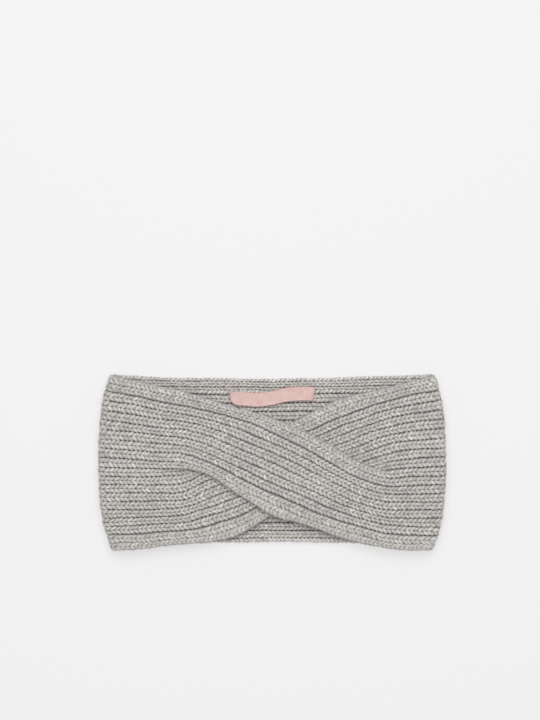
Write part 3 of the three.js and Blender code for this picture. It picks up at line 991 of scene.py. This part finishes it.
def knitted_wall(node_name, wall, outer_form, inner_form, core_steps, fibres, seed):
    """A whole knitted wall in place of its node: its core, the stitches of both faces, and its loose fibres.

    fibres is how many of them the outer face has, and the inner one.
    """
    rng = np.random.default_rng(seed)
    knit = Parts()
    core(knit, wall, core_steps)
    stitch_legs(knit, wall, 1, outer_form, rng)
    stitch_legs(knit, wall, -1, inner_form, rng)
    for high in (False, True):
        edge_legs(knit, wall, high, rng)
    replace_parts(knit.piece(node_name + "_knit", WOOL, uneven), node_name)
    nap = Parts()
    for face, count in zip((1, -1), fibres):
        loose_fibres(nap, wall, face, count, rng)
    for high in (False, True):
        edge_fibres(nap, wall, high, EDGE_FIBRES, rng)
    nap.piece(node_name + "_fibres", WOOL, uneven)


knitted_wall("over_strip", over_wall, FINE_LEG, PLAIN_LEG, core_steps=60, fibres=(4500, 600), seed=3)
knitted_wall("under_strip", under_wall, FINE_LEG, PLAIN_LEG, core_steps=60, fibres=(4200, 600), seed=5)
knitted_wall("back_panel", back_wall, HIDDEN_LEG, PLAIN_LEG, core_steps=30, fibres=(1200, 2600), seed=7)


# The label: a ribbon with both ends folded under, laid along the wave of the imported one. Its path is made of
# TUCK_POINTS under each end, BEND_POINTS round it and TOP_POINTS over the top.
TUCK_POINTS = 6
BEND_POINTS = 9
TOP_POINTS = 80
SECTION_POINTS = 25
RIBBON_WIDTH = 9.2
RIBBON_THICKNESS = 0.34
RIBBON_FROM = -25.0
RIBBON_TO = 27.0
RIBBON_FOLD = 0.23  # radius of the fold at its ends
RIBBON_TUCK = 5.0  # what is folded under
RIBBON_CURL = 0.35  # how far its long edges rise
SECTION_POWER = 12  # how square its section is
NARROWING = 0.9  # how much narrower it looks at its rounded ends, and how far along it that is seen
NARROWING_LENGTH = 1.6
END_ROUND = 4.4  # how far its lower left corner is rounded off, and from where across it
ROUND_FROM = 0.15
END_LEAN = -2.1  # where its left end starts, at the upper corner
END_REACH = 7.0  # how far along the ribbon this is felt

# The stitches that hold its ends
STITCH_PLACES = np.linspace(-0.36, 0.36, 5)  # across the ribbon, as shares of its width
STITCH_SHARE = 0.14  # length of one, as a share of the width
STITCHES_IN = 1.1  # how far they lie inside its ends
STITCH_SUNK = 0.12  # how far their ends go into it, and how high they arch from there
STITCH_ARCH = 0.16
THREAD = 0.1  # half its thickness
THREAD_FORM = ((0, 0.15, 0.5, 0.85, 1), 6)
THREAD_POWER = 6


def ribbon_path():
    """Plan place and height of the ribbon's middle line: under one end, over the top, and under the other.

    It turns round the ends by half circles.
    """
    bend = np.linspace(-np.pi / 2, np.pi / 2, BEND_POINTS)[1:-1]
    low = np.linspace(RIBBON_TUCK, RIBBON_FOLD, TUCK_POINTS)
    top = np.linspace(RIBBON_FROM + RIBBON_FOLD, RIBBON_TO - RIBBON_FOLD, TOP_POINTS)
    left = RIBBON_FOLD * (1 - np.cos(bend))
    ends = (RIBBON_TO - left, RIBBON_TO - low[::-1])
    x = np.concatenate([RIBBON_FROM + low, RIBBON_FROM + left, top, *ends])
    rise = RIBBON_FOLD * (1 + np.sin(bend))
    flat = np.zeros_like(low)
    z = np.concatenate([flat, rise, np.full_like(top, 2 * RIBBON_FOLD), rise[::-1], flat])
    return x, z


def ribbon_point(x, z, share, out, lean):
    """A point of the ribbon: share across it from -0.5 to 0.5, and out from its middle layer along lean.

    Its left end runs as a quarter of an ellipse from the upper corner to the lower edge, and its long edges
    rise by the fourth power of the distance from its middle.
    """
    end = np.minimum(x - RIBBON_FROM, RIBBON_TO - x)
    width = RIBBON_WIDTH - NARROWING * (1 - smoothstep(end, 0, NARROWING_LENGTH))
    rim_rise = RIBBON_CURL * (2 * share) ** 4
    low = np.clip((ROUND_FROM - share) / (ROUND_FROM + 0.5), 0, 1)
    end_shape = END_LEAN + END_ROUND * (1 - np.sqrt(1 - low**2))
    near = 1 - smoothstep(x - RIBBON_FROM, 0, END_REACH)
    slant = follow(LABEL_WAVE, "lean", x) * share
    place_x = x + slant * (1 - near) + end_shape * near + out * lean[0]
    place_y = follow(LABEL_WAVE, "y", x) + width * share
    middle = LABEL_BOTTOM + RIBBON_THICKNESS / 2 + follow(LABEL_WAVE, "lift", x)
    place_z = middle + z + rim_rise + out * lean[1]
    return np.stack([place_x, place_y, place_z], -1)


def end_stitches(parts):
    """Stitches across the ribbon at each end: short arches of thread that dip into it where they meet.

    An arch is the root of 1 less the fourth power of the distance from its middle.
    """
    stations, sides = THREAD_FORM
    t = np.array(stations)
    share = (STITCH_PLACES[:, None] + STITCH_SHARE * (t - 0.5))[None]
    x = np.array([RIBBON_FROM + STITCHES_IN, RIBBON_TO - STITCHES_IN])[:, None, None]
    x, share = (a.reshape(-1, len(t)) for a in np.broadcast_arrays(x, share))
    top = 2 * RIBBON_FOLD + RIBBON_THICKNESS / 2
    height = top - STITCH_SUNK + STITCH_ARCH * np.sqrt(1 - (2 * t - 1) ** 4) * np.ones_like(x)
    path = ribbon_point(x, height, share, 0, (0, 1))
    reference = np.broadcast_to([0.0, 0, 1], path.shape)
    girth = THREAD * leg_girth(t, THREAD_POWER, THREAD_POWER) * np.ones_like(x)
    points = tube_points(path, reference, girth, girth, sides)
    points = points[:, tube_tips(len(stations), sides)]
    parts.add(points.reshape(-1, 3), *tube_faces(len(points), stations, sides), 0, 1)


def label():
    """The ribbon, as a thin rounded section carried along its path, and the stitches that hold its ends.

    Half its thickness across it is the root of 1 less a high power of the distance from its middle.
    """
    parts = Parts()
    x, z = ribbon_path()
    heading = np.stack([np.gradient(x), np.gradient(z)])
    heading /= np.linalg.norm(heading, axis=0)
    lean = np.stack([-heading[1], heading[0]])[:, :, None]
    share = np.linspace(-0.5, 0.5, SECTION_POINTS)
    half = RIBBON_THICKNESS / 2 * np.sqrt(1 - (2 * share) ** SECTION_POWER)
    ring_share = np.concatenate([share, share[-2:0:-1]])
    ring_out = np.concatenate([-half, half[-2:0:-1]])
    points = ribbon_point(x[:, None], z[:, None], ring_share, ring_out, lean)
    rings, size = points.shape[:2]
    # The section runs the other way round its path than a tube's, so its quads are turned over
    quads = ring_quads(rings, size)[:, [0, 3, 2, 1]]
    length = np.append(0, np.cumsum(np.hypot(np.diff(x), np.diff(z))))
    u = np.repeat(length[:-1], size)
    next_u = np.repeat(length[1:], size)
    v = np.tile(ring_share * RIBBON_WIDTH, rings - 1)
    next_v = np.tile(np.roll(ring_share, -1) * RIBBON_WIDTH, rings - 1)
    uv = corner_uv((u, v), (u, next_v), (next_u, next_v), (next_u, v))
    near = np.arange(1, len(share) - 2)
    cap = np.stack([near, near + 1, size - 1 - near, size - near], -1)
    tips = np.array([[0, 1, size - 1], [len(share) - 2, len(share) - 1, len(share)]])
    far = (rings - 1) * size
    caps = np.concatenate([cap[:, ::-1], cap + far])
    tips = np.concatenate([tips[:, ::-1], tips + far])
    flat_uvs = [np.zeros((len(caps), 4, 2)), np.zeros((len(tips), 3, 2))]
    parts.add(points.reshape(-1, 3), [quads, caps, tips], [uv, *flat_uvs], 0, 1)
    end_stitches(parts)
    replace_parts(parts.piece("label_ribbon", RIBBON), "label")


label()


# The studio, in metres
FLOOR_REACH = 8.0  # half the side of the floor
FLOOR_DROP = 0.0002  # how far it lies under the band
FLOOR_GLOW = 0.562
LIGHT_SIZE = 1.2
LIGHT_WATTS = 19.5
LIGHT_PLACE = (0, 0.45, 1.5)
SKY_STRENGTH = 0.42


def pale_floor():
    """A square pale floor that glows a little, so that shadows stay faint."""
    mesh = bpy.data.meshes.new("floor")
    corners = [(-1, -1), (1, -1), (1, 1), (-1, 1)]
    mesh.from_pydata([(x * FLOOR_REACH, y * FLOOR_REACH, 0) for x, y in corners], [], [(0, 1, 2, 3)])
    material, _, _ = new_material("pale_floor", 0.9, Base_Color=(0.3, 0.3, 0.3, 1),
                                  Emission_Color=(1, 1, 1, 1), Emission_Strength=FLOOR_GLOW)
    mesh.materials.append(material)
    floor = new_object("floor", mesh)
    floor.location.z = -FLOOR_DROP


def softbox():
    """A wide soft light over the upper part of the picture, turned to the middle of the band."""
    light = bpy.data.lights.new("softbox", "AREA")
    light.size = LIGHT_SIZE
    light.energy = LIGHT_WATTS
    lamp = new_object("softbox", light)
    lamp.location = LIGHT_PLACE
    lamp.rotation_euler = (-np.arctan2(LIGHT_PLACE[1], LIGHT_PLACE[2]), 0, 0)


def sky():
    """An even white sky, and colours shown as they are."""
    world = bpy.data.worlds.new("studio")
    world.use_nodes = True
    background = world.node_tree.nodes["Background"].inputs
    background["Color"].default_value = (1, 1, 1, 1)
    background["Strength"].default_value = SKY_STRENGTH
    bpy.context.scene.world = world
    bpy.context.scene.view_settings.view_transform = "Standard"


# The camera looks straight down. A pixel of the 540 by 720 picture is PIXEL wide at SEEN_HEIGHT.
PIXEL = 0.644
PICTURE_HEIGHT = 720
MIDDLE = (-1.45, 66.0)
CAMERA_HEIGHT = 1500.0
SEEN_HEIGHT = 8.0
SENSOR = 36.0


def camera():
    """A camera straight above the middle of the picture, with the lens that gives PIXEL."""
    data = bpy.data.cameras.new("camera")
    data.sensor_width = SENSOR
    data.lens = SENSOR * (CAMERA_HEIGHT - SEEN_HEIGHT) / (PIXEL * PICTURE_HEIGHT)
    obj = new_object("camera", data)
    obj.location = (MIDDLE[0] * MM, MIDDLE[1] * MM, CAMERA_HEIGHT * MM)
    bpy.context.scene.camera = obj


pale_floor()
softbox()
sky()
camera()
